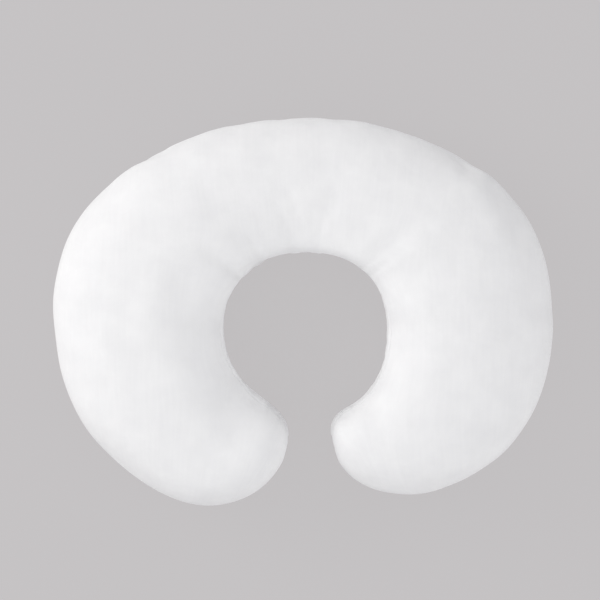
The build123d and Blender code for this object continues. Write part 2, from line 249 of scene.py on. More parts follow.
def coarse_grid():
    """The closed skin as rows by columns. The first and last rows lie folded on the tips' seams."""
    table = section_table()
    turns = np.arange(COLUMNS) / COLUMNS * FULL_TURN
    grid = np.zeros((ROWS + 1, COLUMNS, 3))
    for i in range(ROWS + 1):
        at, back = i * ROW_STEP, LENGTH - i * ROW_STEP
        run = (TIP_SEAM_HALF * np.cos(turns)) ** 2
        along = at + (np.sqrt(at**2 + run) - at) - (np.sqrt(back**2 + run) - back)
        turned = turns.copy()
        for near in (at, back):
            narrowed = near * np.sin(turns), math.hypot(near, TIP_SEAM_HALF) * np.cos(turns)
            change = np.arctan2(*narrowed) - np.arctan2(np.sin(turns), np.cos(turns))
            turned += (change + math.pi) % FULL_TURN - math.pi
        if i in (0, ROWS):
            turned = np.where(np.cos(turns) > 0, 0.0, math.pi)
        grid[i] = read_table(table, along, turned)
    for i in (0, ROWS):
        for j in range(1, HALF):
            grid[i, COLUMNS - j] = grid[i, j]
    return grid


def padded_grid(grid):
    """The grid with rows carried on over each tip, and columns carried on round the ring."""
    mirror = (-np.arange(COLUMNS)) % COLUMNS
    over = np.concatenate([grid[2:0:-1][:, mirror], grid, grid[-2:-4:-1][:, mirror]])
    return np.concatenate([over[:, -2:], over, over[:, :3]], axis=1)


def b_spline(part):
    """The four weights of a cubic B-spline at a part from 0 to 1 of its span."""
    p = np.asarray(part)
    middle = (3 * p**3 - 6 * p**2 + 4) / 6, (1 + 3 * p + 3 * p**2 - 3 * p**3) / 6
    return (1 - p) ** 3 / 6, *middle, p**3 / 6


def read_grid(padded, u, v):
    """Points of the smooth surface at row u and column v of the coarse grid."""
    u, v = np.clip(u, -PAST_TIP, ROWS + PAST_TIP), np.mod(v, COLUMNS)
    i, j = np.floor(u).astype(int), np.floor(v).astype(int)
    total = 0
    for a, row_weight in enumerate(b_spline(u - i), 1):
        for b, column_weight in enumerate(b_spline(v - j), 1):
            places = padded[np.clip(i + a, 0, len(padded) - 1), j + b]
            total = total + (row_weight * column_weight)[..., None] * places
    return total


# ---------------------------------------------------------------- mesh helpers
def mesh_object(name, points, faces, uv=None):
    """A smooth-shaded mesh object from points in millimetres, with uv given per point."""
    mesh = bpy.data.meshes.new(name)
    mesh.from_pydata((points * MM).tolist(), [], faces)
    mesh.update()
    mesh.shade_smooth()
    if uv is not None:
        layer = mesh.uv_layers.new(name="flat")
        loops = np.zeros(len(mesh.loops), int)
        mesh.loops.foreach_get("vertex_index", loops)
        layer.data.foreach_set("uv", (uv[loops] * MM).ravel())
    obj = bpy.data.objects.new(name, mesh)
    bpy.context.scene.collection.objects.link(obj)
    return obj


def grid_faces(rows, columns, start=0, flip=False):
    """Quads of a rows by columns grid of points."""
    i, j = np.meshgrid(np.arange(rows - 1), np.arange(columns - 1), indexing="ij")
    a = start + i * columns + j
    quads = np.stack([a, a + 1, a + columns + 1, a + columns], axis=-1).reshape(-1, 4)
    return quads[:, ::-1] if flip else quads


def shell(name, outer, inner, flat=None):
    """A closed sheet between two grids of points, outer and inner."""
    rows, columns = outer.shape[:2]
    count = rows * columns
    index = np.arange(count).reshape(rows, columns)
    rim = np.concatenate([index[0], index[1:, -1], index[-1, -2::-1], index[-2::-1, 0]])
    around = np.column_stack([rim[1:], rim[:-1], rim[:-1] + count, rim[1:] + count])
    faces = np.concatenate([grid_faces(rows, columns), grid_faces(rows, columns, count, True), around])
    points = np.concatenate([outer.reshape(-1, 3), inner.reshape(-1, 3)])
    uv = None if flat is None else np.concatenate([flat.reshape(-1, 2)] * 2)
    return mesh_object(name, points, faces.tolist(), uv)


def joined_places(grid):
    """The closed skin's places, used once each: their order, and each grid point's number in it."""
    index = np.arange(grid[..., 0].size).reshape(grid.shape[:2])
    for i in (0, ROWS):
        index[i, HALF + 1 :] = index[i, HALF - 1 : 0 : -1]
    used, packed = np.unique(index, return_inverse=True)
    return used, packed.reshape(index.shape)


def closed_skin(name, grid):
    """A mesh of the closed skin, joined along the tips' seams."""
    used, packed = joined_places(grid)
    ring = np.concatenate([packed, packed[:, :1]], axis=1)
    quads = np.stack([ring[:-1, :-1], ring[:-1, 1:], ring[1:, 1:], ring[1:, :-1]], axis=-1)
    return mesh_object(name, grid.reshape(-1, 3)[used], quads.reshape(-1, 4).tolist())


def dress(obj, material, slot, *nodes, body=PILLOW):
    """Gives a piece its material and its body, and hides the CAD nodes that it stands for. The slot is
    not used.
    """
    obj.data.materials.append(material)
    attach(obj, body)
    if nodes:
        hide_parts(*nodes)
    return obj


# ---------------------------------------------------------------- swelling by cloth simulation
def wall_place(points):
    """Where points stand by the zip: degrees from its middle, mm up the wall, and the radii."""
    plan = points[..., :2] - BACK_CENTRE
    reach = np.linalg.norm(plan, axis=-1)
    along = np.degrees(np.arctan2(plan[..., 1], plan[..., 0])) - 90
    out, up = reach - (BACK_RADIUS - EDGE_ROUND), points[..., 2] - EDGE_ROUND
    climb = EDGE_ROUND * (np.arctan2(up, out) + SEAM_TILT)
    return along, climb, out, up, plan / np.maximum(reach, 1)[..., None]


def wall_share(points):
    """1 beside the zip, where the skin follows the CAD wall, and 0 away from it."""
    along, climb, *_ = wall_place(points)
    near = smooth_step(-np.abs(along), -WALL_GONE[0], -WALL_FULL[0])
    return near * smooth_step(-np.abs(climb), -WALL_GONE[1], -WALL_FULL[1])


def onto_wall(points):
    """The points, drawn onto the CAD wall beside the zip."""
    _, _, out, up, outwards = wall_place(points)
    scale = EDGE_ROUND / np.maximum(np.hypot(out, up), 1)
    centre = BACK_CENTRE + outwards * (BACK_RADIUS - EDGE_ROUND)
    plan = centre + outwards * (out * scale)[..., None]
    on_wall = np.concatenate([plan, (EDGE_ROUND + up * scale)[..., None]], axis=-1)
    share = wall_share(points)[..., None]
    return points * (1 - share) + on_wall * share


def grid_normals(grid):
    """Outward directions at the coarse grid's points."""
    padded = padded_grid(grid)
    du = padded[3:-1, 2:-3] - padded[1:-3, 2:-3]
    dv = padded[2:-2, 3:-2] - padded[2:-2, 1:-4]
    normal = np.cross(dv, du)
    return normal / np.maximum(np.linalg.norm(normal, axis=-1), TINY)[..., None]


def swell(grid):
    """The grid after a cloth simulation under pressure, with short seams."""
    start = grid - grid_normals(grid) * (SWELL_INSET * (1 - wall_share(grid)))[..., None]
    for i in (0, ROWS):
        start[i, HALF + 1 :] = start[i, HALF - 1 : 0 : -1]
    used, packed = joined_places(grid)
    obj = closed_skin("swelling", start)
    pinned = obj.vertex_groups.new(name="pinned")
    seams = obj.vertex_groups.new(name="seams")
    share = wall_share(grid).reshape(-1)[used]
    for k in np.nonzero(share > PIN_LEAST)[0]:
        pinned.add([int(k)], float(share[k]), "REPLACE")
    waist_seam, outer_seam = packed[:, 0], np.concatenate([packed[:, HALF], packed[0], packed[-1]])
    seams.add([int(k) for k in waist_seam], WAIST_SEAM_SHARE, "REPLACE")
    seams.add([int(k) for k in np.unique(outer_seam)], 1.0, "REPLACE")
    cloth = obj.modifiers.new("cloth", "CLOTH")
    sheet = cloth.settings
    sheet.quality, sheet.mass = 5, 0.25
    sheet.tension_stiffness = sheet.compression_stiffness = 22
    sheet.shear_stiffness, sheet.bending_stiffness = 8, 0.25
    sheet.use_pressure, sheet.uniform_pressure_force = True, 4.0
    sheet.effector_weights.gravity = 0
    sheet.vertex_group_mass, sheet.pin_stiffness = "pinned", 8
    sheet.vertex_group_shrink, sheet.shrink_min, sheet.shrink_max = "seams", -0.012, 0.045
    cloth.point_cache.frame_start, cloth.point_cache.frame_end = 1, SWELL_FRAMES
    scene = bpy.context.scene
    for number in range(1, SWELL_FRAMES + 1):
        scene.frame_set(number)
    shown = obj.evaluated_get(bpy.context.evaluated_depsgraph_get()).to_mesh()
    moved = np.zeros(len(shown.vertices) * 3)
    shown.vertices.foreach_get("co", moved)
    scene.frame_set(1)
    bpy.data.objects.remove(obj)
    move = moved.reshape(-1, 3) / MM - start.reshape(-1, 3)[used]
    far = np.linalg.norm(move, axis=1, keepdims=True)
    move *= SWELL_CAP * np.tanh(far / SWELL_CAP) / np.maximum(far, TINY)
    return start + move[packed]


def keep_outline(grid, listed):
    """Moves a swelled grid's rings in and out on plan, so that its outline is the listed one."""
    reach, old = (np.linalg.norm(points[..., :2] - WAIST, axis=-1) for points in (grid, listed))
    ends = []
    for edge in (np.min, np.max):
        change = np.pad(edge(old, axis=1) - edge(reach, axis=1), OUTLINE_BLUR, mode="edge")
        window = np.hanning(2 * OUTLINE_BLUR + 3)[1:-1]
        ends.append(np.convolve(change, window / window.sum(), mode="valid"))
    inner, outer = reach.min(axis=1), reach.max(axis=1)
    part = (reach - inner[:, None]) / np.maximum(outer - inner, 1)[:, None]
    shift = ends[0][:, None] * (1 - part) + ends[1][:, None] * part
    moved = grid.copy()
    moved[..., :2] += (grid[..., :2] - WAIST) / reach[..., None] * shift[..., None]
    return moved


skin = coarse_grid()
skin = keep_outline(swell(skin), skin)
SKIN = padded_grid(skin)


# ---------------------------------------------------------------- the finished surface
# Soft creases and dents of the upper side: a run on plan, then depth and width.
CREASES = [
    ([(-152, 96), (-134, 60), (-117, 18)], 0.9, 15),
    ([(-114, 22), (-106, -22), (-88, -62)], 1.2, 18),
    ([(-102, 141), (-94, 118), (-90, 96)], 0.35, 8),
    ([(-192, -88), (-160, -112)], 0.8, 14),
    ([(206, 118), (232, 66), (243, 8)], 2.0, 13),
    ([(26, 180), (20, 150)], 0.2, 10),
    ([(-168, 30), (-176, -20)], 0.6, 12),
    ([(148, 60), (158, 14), (150, -34)], 0.8, 15),
]
CREASE_RIDGE = 0.35  # height of the soft ridge on either side, in crease depths
CREASES_GONE, CREASES_FULL = 40, 85  # heights above the floor
BROAD_WAVES, SMALL_WAVES = (0.8, 105), (0.35, 46)  # height and size of the fill's unevenness
GROOVE_DEPTH, GROOVE_WIDTH = 1.4, 1.5
BULGE_HEIGHT, BULGE_AT, BULGE_WIDTH = 0.6, 5.0, 3.2
PUCKER_HEIGHT, PUCKER_LENGTH, PUCKER_REACH = 0.5, 13.0, 9.0
WAIST_PUCKER = 0.2  # the share of the puckers that is left at the waist
PANEL_PUCKER, PUCKER_CROSSING = 0.7, 3.0  # how far the panels differ, and where they start to
EDGE_TURN_DEPTH, EDGE_TURN_WIDTH = 0.8, 1.0
TOPSTITCH_T, TOPSTITCH_DENT = 8.15, 0.25
REST_SOFTNESS, REST_SINK = 2.0, 0.3


def bell(distance):
    """1 at no distance, fading smoothly to nothing by a distance of about 2."""
    return np.exp(-(distance**2))


def seam_distance(u, v):
    """Nominal mm of fabric to the cover's seam."""
    round_it = np.minimum(np.mod(v, HALF), HALF - np.mod(v, HALF)) * COLUMN_STEP
    return np.minimum(round_it, np.minimum(u, ROWS - u) * ROW_STEP)


def creases(plan):
    """Depth of the creases at places on plan."""
    depth = 0
    for run, deep, wide in CREASES:
        nearest = np.full(plan.shape[:-1], np.inf)
        for a, b in zip(np.array(run[:-1], float), np.array(run[1:], float)):
            part = np.clip(((plan - a) @ (b - a)) / ((b - a) @ (b - a)), 0, 1)
            nearest = np.minimum(nearest, np.linalg.norm(plan - a - part[..., None] * (b - a), axis=-1))
        depth = depth - deep * bell(nearest / wide) + CREASE_RIDGE * deep * bell(nearest / wide - 2)
    return depth


def skin_at(u, v):
    """Points of the bare skin at rows u and columns v."""
    return onto_wall(read_grid(SKIN, u, v))


def surface(u, v, slit_share=0.0, slit_distance=0.0):
    """Points of the cover's outer face at rows u and columns v, and the way out of it."""
    u, v = np.broadcast_arrays(np.asarray(u, float), np.asarray(v, float))
    point = skin_at(u, v)
    near = 0.35  # rows and columns
    out = np.cross(
        skin_at(u, v + near) - skin_at(u, v - near), skin_at(u + near, v) - skin_at(u - near, v)
    )
    out /= np.maximum(np.linalg.norm(out, axis=-1), TINY)[..., None]
    x, y, z = np.moveaxis(point, -1, 0)
    free, over = 1 - wall_share(point), smooth_step(z, CREASES_GONE, CREASES_FULL)
    (broad, broad_size), (small, small_size) = BROAD_WAVES, SMALL_WAVES
    height = broad * wave_noise(x, y + z, broad_size, 3) + small * wave_noise(x + z, y, small_size, 4)
    height = free * (height + over * creases(point[..., :2]))
    distance = seam_distance(u, v)
    sewn = free * BULGE_HEIGHT * bell((distance - BULGE_AT) / BULGE_WIDTH)
    sewn = sewn - GROOVE_DEPTH * bell(distance / GROOVE_WIDTH)
    side = np.where(np.mod(v, COLUMNS) < HALF, 1, -1) * np.minimum(distance / PUCKER_CROSSING, 1)
    pucker = wave_noise(x, y, PUCKER_LENGTH, 11)
    pucker = pucker + PANEL_PUCKER * side * wave_noise(x, y, PUCKER_LENGTH, 12)
    pucker = pucker * (WAIST_PUCKER + (1 - WAIST_PUCKER) * np.sin(math.pi * v / COLUMNS) ** 2)
    sewn = sewn + free * PUCKER_HEIGHT * pucker * bell(distance / PUCKER_REACH)
    turned = -EDGE_TURN_DEPTH * bell(slit_distance / EDGE_TURN_WIDTH)
    to_stitches = slit_distance - (TOPSTITCH_T - SLIT_HALF_WIDTH)
    turned = turned - TOPSTITCH_DENT * bell(to_stitches / EDGE_TURN_WIDTH)
    height = height + sewn * (1 - slit_share) + turned * slit_share
    point = point + out * height[..., None]
    lifted = above_floor(point[..., 2], REST_SOFTNESS) - REST_SINK
    return np.concatenate([point[..., :2], lifted[..., None]], axis=-1), out


BACK_ROWS = np.linspace(0, ROWS, 2000)
BACK_ROWS = BACK_ROWS[np.abs(BACK_ROWS / ROWS - 0.5) < 0.3]  # the rest is on the arms
BACK_ANGLES = wall_place(skin_at(BACK_ROWS, HALF + 0 * BACK_ROWS))[0]


def row_at(angle):
    """The row where the outer seam is at this many degrees from the zip's middle."""
    return float(np.interp(angle, BACK_ANGLES, BACK_ROWS))


SLIT_HALF_ANGLE = ZIP_HALF_ANGLE + math.degrees(SLIT_END / ZIP_RADIUS)
SLIT_ENDS = (row_at(-SLIT_HALF_ANGLE), row_at(SLIT_HALF_ANGLE))


def spaced(total, step, graded):
    """Places from 0 to total: close together at both ends, and even between."""
    room = total - 2 * graded[-1]
    even = graded[-1] + room * np.linspace(0, 1, round(room / step) + 1)[1:-1]
    return np.concatenate([graded, even, total - np.array(graded)[::-1]])


def panel_rows(reach=0.5, clear=0.52, count=13):
    """Rows of a cover panel, closer together within reach of the slit's ends."""
    rows = spaced(LENGTH, FINE_STEP, SEAM_STEPS) / ROW_STEP
    extra = [end + offset for end in SLIT_ENDS for offset in np.linspace(-reach, reach, count)]
    keep = [row for row in rows if all(abs(row - end) > clear for end in SLIT_ENDS)]
    return np.array(sorted([*keep, *extra]))


def panel(over):
    """A cover panel's outer and inner face: points by row and column, from the waist's seam out."""
    u = panel_rows()[:, None]
    from_waist = spaced(HALF_ROUND, FINE_STEP, SEAM_STEPS)[None, :]
    way = 1 if over else -1
    seam_points = skin_at(u, HALF + 0 * u)
    fabric = np.linalg.norm(skin_at(u, HALF - way + 0 * u) - seam_points, axis=-1)
    past = (np.abs(wall_place(seam_points)[0]) - SLIT_HALF_ANGLE) * math.radians(ZIP_RADIUS)
    opened = np.sqrt(1 - np.clip(1 + past / SLIT_TAPER, 0, 1) ** 2)
    to_seam = HALF_ROUND - from_waist
    wide = opened * SLIT_HALF_WIDTH * COLUMN_STEP / fabric
    gathered = wide * np.clip(1 - to_seam / SLIT_GATHER, 0, 1)
    v = HALF - way * (to_seam + gathered) / COLUMN_STEP
    share = np.clip(opened / SLIT_TURNED, 0, 1) * smooth_step(-to_seam, -SLIT_GATHER, -SLIT_GATHER / 2)
    points, out = surface(u, v, share, to_seam + 0 * u)
    return points, points - out * COVER_THICKNESS


def flat_places(points):
    """Where a panel's fabric lay when it was cut: its threads run straight in these."""
    steps = np.linalg.norm(np.diff(points, axis=1), axis=-1)
    across = np.concatenate([0 * steps[:, :1], np.cumsum(steps, axis=1)], axis=1)
    crown = points.shape[1] // 2
    run = np.diff(points[:, crown], axis=0)
    plan = run[:, :2] / np.maximum(np.linalg.norm(run[:, :2], axis=1, keepdims=True), TINY)
    flat_steps = plan * np.linalg.norm(run, axis=1, keepdims=True)
    spine = points[0, crown, :2] + np.concatenate([[[0, 0]], np.cumsum(flat_steps, axis=0)])
    outwards = np.column_stack([plan[:, 1], -plan[:, 0]])
    outwards = np.concatenate([outwards, outwards[-1:]])
    return spine[:, None] + outwards[:, None] * (across - across[:, crown : crown + 1])[..., None]


# ---------------------------------------------------------------- materials
WEAVE_CROSSINGS, WEAVE_THREADS = 0.6, 0.5  # heights, as shares of a plain weave's


def material(name, colour, roughness, **sockets):
    """A Principled material with its node tree and shader. The colour is what a plain viewer shows."""
    made = bpy.data.materials.new(name)
    made.use_nodes = True
    bsdf = made.node_tree.nodes["Principled BSDF"]
    bsdf.inputs["Base Color"].default_value = (*colour, 1)
    bsdf.inputs["Roughness"].default_value = roughness
    for socket, value in sockets.items():
        bsdf.inputs[socket.replace("_", " ")].default_value = value
    return made, made.node_tree, bsdf


def node(tree, kind, **settings):
    """A shader node with its settings."""
    made = tree.nodes.new(f"ShaderNode{kind}")
    for name, value in settings.items():
        setattr(made, name, value)
    return made


def maths(tree, operation, a, b=None):
    """A Math node of two values, each a number or a socket."""
    made = node(tree, "Math", operation=operation)
    for socket, value in zip(made.inputs, (a, b)):
        if isinstance(value, (int, float)):
            socket.default_value = value
        elif value is not None:
            tree.links.new(value, socket)
    return made.outputs[0]


def coordinates(tree, flat):
    """Fabric coordinates in metres: along the flat cut, or in space."""
    if flat:
        return node(tree, "UVMap", uv_map="flat").outputs[0]
    return node(tree, "TexCoord").outputs["Object"]


def noise(tree, place, scale, detail=3.0, stretch=(1, 1, 1)):
    """Noise of about 0 to 1, with scale in waves per metre."""
    mapping = node(tree, "Mapping")
    mapping.inputs["Scale"].default_value = [scale * s for s in stretch]
    tree.links.new(place, mapping.inputs["Vector"])
    made = node(tree, "TexNoise")
    made.inputs["Scale"].default_value = 1.0
    made.inputs["Detail"].default_value = detail
    tree.links.new(mapping.outputs[0], made.inputs["Vector"])
    return made.outputs["Fac"]


def weave(tree, place, pitch, turn=0.0, slant=0.0):
    """Height of a plain weave, or of a twill if slant isn't 0, with threads pitch metres apart."""
    mapping = node(tree, "Mapping")
    mapping.inputs["Rotation"].default_value = (0, 0, turn)
    mapping.inputs["Scale"].default_value = [math.pi / pitch] * 3
    tree.links.new(place, mapping.inputs["Vector"])
    split = node(tree, "SeparateXYZ")
    tree.links.new(mapping.outputs[0], split.inputs[0])
    x, y = split.outputs[0], split.outputs[1]
    if slant:
        diagonal = maths(tree, "ADD", x, maths(tree, "MULTIPLY", y, slant))
        return maths(tree, "ABSOLUTE", maths(tree, "SINE", diagonal))
    crossing = maths(tree, "MULTIPLY", maths(tree, "SINE", x), maths(tree, "SINE", y))
    threads = maths(tree, "MULTIPLY", maths(tree, "ABSOLUTE", maths(tree, "SINE", x)), WEAVE_THREADS)
    return maths(tree, "ADD", maths(tree, "MULTIPLY", crossing, WEAVE_CROSSINGS), threads)


def bump(tree, bsdf, *layers):
    """Bump from (height, distance in metres) layers, one on another."""
    last = None
    for height, distance in layers:
        made = node(tree, "Bump")
        made.inputs["Distance"].default_value = distance
        tree.links.new(height, made.inputs["Height"])
        if last:
            tree.links.new(last, made.inputs["Normal"])
        last = made.outputs[0]
    tree.links.new(last, bsdf.inputs["Normal"])


def shades(tree, bsdf, value, dark, light):
    """Base colour between two shades by a value of about 0.3 to 0.7."""
    ramp = node(tree, "ValToRGB")
    ramp.color_ramp.elements[0].position, ramp.color_ramp.elements[1].position = 0.32, 0.68
    ramp.color_ramp.elements[0].color, ramp.color_ramp.elements[1].color = (*dark, 1), (*light, 1)
    tree.links.new(value, ramp.inputs[0])
    tree.links.new(ramp.outputs[0], bsdf.inputs["Base Color"])


def roughened(tree, bsdf, value, low, high):
    """Roughness between two amounts by a value from 0 to 1."""
    spread = node(tree, "MapRange")
    spread.inputs["To Min"].default_value, spread.inputs["To Max"].default_value = low, high
    tree.links.new(value, spread.inputs["Value"])
    tree.links.new(spread.outputs[0], bsdf.inputs["Roughness"])


def cover_cotton():
    """Fine plain-woven white cotton, with slubs, soft mottling and a little nap."""
    made, tree, bsdf = material(
        "cover_cotton", (0.915, 0.915, 0.92), 0.92,
        Sheen_Weight=0.12, Sheen_Roughness=0.45, Specular_IOR_Level=0.25,
    )
    flat, space = coordinates(tree, True), coordinates(tree, False)
    patches = maths(tree, "MULTIPLY", noise(tree, space, 38, 3), 0.7)
    threads = maths(tree, "MULTIPLY", noise(tree, flat, 330, 2, (1, 0.06, 1)), 0.3)
    shades(tree, bsdf, maths(tree, "ADD", patches, threads), (0.888, 0.888, 0.895), (0.938, 0.938, 0.941))
    roughened(tree, bsdf, noise(tree, space, 60), 0.84, 0.98)
    bump(
        tree, bsdf,
        (noise(tree, space, 75, 3), 0.0006),
        (noise(tree, flat, 330, 2, (1, 7, 1)), 0.00010),
        (noise(tree, flat, 330, 2, (7, 1, 1)), 0.00008),
        (weave(tree, flat, 0.00055), 0.00009),
    )
    return made


def casing_cotton():
    """Plain calico, a little yellower than the cover."""
    made, tree, bsdf = material("casing_cotton", (0.84, 0.84, 0.82), 0.95, Sheen_Weight=0.1)
    space = coordinates(tree, False)
    shades(tree, bsdf, noise(tree, space, 20), (0.80, 0.80, 0.78), (0.86, 0.86, 0.84))
    bump(tree, bsdf, (noise(tree, space, 60), 0.0008), (weave(tree, space, 0.0007), 0.0001))
    return made


def loose_fibre():
    """White polyester fibre, tufted."""
    made, tree, bsdf = material("loose_fibre", (0.9, 0.9, 0.9), 1.0, Sheen_Weight=0.5)
    space = coordinates(tree, False)
    shades(tree, bsdf, noise(tree, space, 90, 6), (0.82, 0.82, 0.82), (0.95, 0.95, 0.95))
    bump(tree, bsdf, (noise(tree, space, 160, 8), 0.003), (noise(tree, space, 900, 4), 0.0006))
    return made


def label_satin():
    """Smooth woven ribbon."""
    made, tree, bsdf = material(
        "label_satin", (0.9, 0.9, 0.89), 0.42, Sheen_Weight=0.2, Anisotropic=0.5
    )
    flat = coordinates(tree, True)
    shades(tree, bsdf, noise(tree, flat, 700, 3, (1, 12, 1)), (0.86, 0.86, 0.85), (0.93, 0.93, 0.92))
    bump(tree, bsdf, (weave(tree, flat, 0.0003, slant=2.0), 0.00003), (noise(tree, flat, 60), 0.0004))
    return made


def sewing_thread():
    """Twisted white thread."""
    made, tree, bsdf = material("sewing_thread", (0.88, 0.88, 0.89), 0.6, Sheen_Weight=0.3)
    space = coordinates(tree, False)
    shades(tree, bsdf, noise(tree, space, 1500), (0.82, 0.82, 0.83), (0.92, 0.92, 0.93))
    bump(tree, bsdf, (weave(tree, space, 0.0003, 0.6, slant=1.0), 0.00006))
    return made


def tape_twill():
    """Twill ribbon, with its ribs measured along the zip's arc."""
    made, tree, bsdf = material("tape_twill", (0.86, 0.86, 0.87), 0.8, Sheen_Weight=0.1)
    shift = node(tree, "VectorMath", operation="SUBTRACT")
    shift.inputs[1].default_value = (*(BACK_CENTRE * MM), 0)
    tree.links.new(coordinates(tree, False), shift.inputs[0])
    split = node(tree, "SeparateXYZ")
    tree.links.new(shift.outputs[0], split.inputs[0])
    angle = maths(tree, "ARCTAN2", split.outputs[1], split.outputs[0])
    join = node(tree, "CombineXYZ")
    tree.links.new(maths(tree, "MULTIPLY", angle, ZIP_RADIUS * MM), join.inputs[0])
    tree.links.new(split.outputs[2], join.inputs[1])
    shades(tree, bsdf, noise(tree, join.outputs[0], 800), (0.82, 0.82, 0.83), (0.89, 0.89, 0.9))
    bump(tree, bsdf, (weave(tree, join.outputs[0], 0.0007, slant=1.0), 0.00012))
    return made


def nylon():
    """Smooth white nylon."""
    made, tree, bsdf = material("nylon_coil", (0.86, 0.865, 0.87), 0.34, Coat_Weight=0.2)
    space = coordinates(tree, False)
    roughened(tree, bsdf, noise(tree, space, 1200), 0.26, 0.44)
    bump(tree, bsdf, (noise(tree, space, 2500), 0.00003))
    return made


def lacquered_metal():
    """White lacquer on die-cast zinc, with orange peel, and a little uneven in tone and roughness."""
    made, tree, bsdf = material(
        "lacquered_metal", (0.84, 0.845, 0.85), 0.28, Coat_Weight=0.5, Coat_Roughness=0.12
    )
    space = coordinates(tree, False)
    shades(tree, bsdf, noise(tree, space, 500, 5), (0.79, 0.795, 0.80), (0.86, 0.865, 0.87))
    roughened(tree, bsdf, noise(tree, space, 900, 5), 0.2, 0.42)
    bump(tree, bsdf, (noise(tree, space, 1400, 2), 0.00004))
    return made


# ---------------------------------------------------------------- cover, casing and filling
COTTON, CASING, SATIN = cover_cotton(), casing_cotton(), label_satin()
THREAD, NYLON, TWILL, LACQUER = sewing_thread(), nylon(), tape_twill(), lacquered_metal()

for over, name in ((True, "cover_top"), (False, "cover_bottom")):
    outer, inner = panel(over)
    flat = flat_places(outer)
    if not over:
        outer, inner, flat = outer[:, ::-1], inner[:, ::-1], flat[:, ::-1]
    piece = dress(shell(name, outer, inner, flat), COTTON, "cover_fabric", f"{name}_panel")

CASING_WAIST_SEAM, CASING_OUTER_SEAM = -20.0 / COLUMN_STEP, HALF - 36.0 / COLUMN_STEP
SKIN_ROWS = np.arange(ROWS + 1)[:, None]
for start, end, name in (
    (CASING_WAIST_SEAM, CASING_OUTER_SEAM, "casing_top"),
    (CASING_OUTER_SEAM, COLUMNS + CASING_WAIST_SEAM, "casing_bottom"),
):
    face, out = surface(SKIN_ROWS, np.linspace(start, end, HALF + 1)[None, :])
    piece = shell(name, face - out * CASING_DEPTH, face - out * (CASING_DEPTH + CASING_THICKNESS))
    dress(piece, CASING, "casing_fabric", name.replace("casing", "inner_casing"))


def filling():
    """The fibre inside the casing, closed over both tips."""
    face, out = surface(SKIN_ROWS, np.arange(COLUMNS)[None, :])
    x, y, z = np.moveaxis(face, -1, 0)
    tufts = TUFT_HEIGHT * wave_noise(x + z, y - z, TUFT_SIZE, 21)
    piece = closed_skin("filling", face - out * (FILL_DEPTH + tufts)[..., None])
    dress(piece, loose_fibre(), "fibre", "fibre_fill")


filling()


# ---------------------------------------------------------------- labels
LABEL_LENGTH, LABEL_THICKNESS, LABEL_WAVE = 22.0, 0.35, 0.3
LABEL_ROWS, LABEL_COLUMNS, CURL_POWER = 14, 20, 2.5
LABEL_FROM_ZIP, TAPE_END = 12.5, 9.0  # beyond the zip's ends


def down_from_seam(rows, drops, depth, reach=50, samples=101):
    """The columns at some mm of fabric below the outer seam, at a depth inside the cover."""
    columns = HALF + np.linspace(0, reach / COLUMN_STEP, samples)[None, :]
    face, out = surface(rows, columns)
    steps = np.linalg.norm(np.diff(face - out * depth, axis=1), axis=-1)
    fabric = np.concatenate([0 * rows, np.cumsum(steps, axis=1)], axis=1)
    return np.array([np.interp(drops, row, columns[0]) for row in fabric])


def label(name, node_name, first_angle, edges, depth, curl):
    """A blank ribbon label from first_angle on, hanging between two distances from the outer seam."""
    along, drop = np.linspace(0, LABEL_LENGTH, LABEL_ROWS), np.linspace(*edges, LABEL_COLUMNS)
    rows = np.array([row_at(first_angle + np.degrees(place / ZIP_RADIUS)) for place in along])[:, None]
    face, out = surface(rows, down_from_seam(rows, drop, depth))
    hang = (drop - edges[0]) / (edges[1] - edges[0])
    wavy = LABEL_WAVE * hang * np.sin(np.linspace(0, math.pi, LABEL_ROWS))[:, None]
    height = (-depth + curl * hang**CURL_POWER + wavy)[..., None]
    outer, inner = face + out * height, face + out * (height - LABEL_THICKNESS)
    place = np.stack(np.broadcast_arrays(along[:, None], drop), axis=-1)
    piece = dress(shell(name, outer, inner, place), SATIN, "label_fabric", node_name)


label(
    "care_label_blank", "care_label", ZIP_HALF_ANGLE + math.degrees(LABEL_FROM_ZIP / ZIP_RADIUS),
    edges=(1.0, 31.0), depth=-0.6, curl=1.6,
)
label(
    "casing_label_blank", "inner_label", -ZIP_HALF_ANGLE + math.degrees(TAPE_END / ZIP_RADIUS),
    edges=(17.0, 42.0), depth=3.35, curl=0.0,
)


# ---------------------------------------------------------------- zip
def by_zip(angle, n, t):
    """Points in the zip's own directions: degrees from its middle, n mm out of the wall, t up it."""
    a = np.radians(90 + np.asarray(angle, float))
    outwards = np.stack([np.cos(a), np.sin(a)], axis=-1)
    n, t = np.broadcast_arrays(np.asarray(n, float) + 0 * a, np.asarray(t, float) + 0 * a)
    cosine, sine = math.cos(SEAM_TILT), math.sin(SEAM_TILT)
    plan = BACK_CENTRE + outwards * (ZIP_RADIUS + n * cosine + t * sine)[..., None]
    return np.concatenate([plan, (OUTER_SEAM_Z - n * sine + t * cosine)[..., None]], axis=-1)


TUBE_SIDES = 6


def tube_faces(start, rings):
    """A capped tube's faces, where its rings of points begin at start."""
    last, faces = start + (rings - 1) * TUBE_SIDES, []
    for first in range(start, last, TUBE_SIDES):
        for k in range(TUBE_SIDES):
            a, b = first + k, first + (k + 1) % TUBE_SIDES
            faces.append((a, a + TUBE_SIDES, b + TUBE_SIDES, b))
    caps = [tuple(range(start, start + TUBE_SIDES)), tuple(range(last + TUBE_SIDES - 1, last - 1, -1))]
    return faces + caps


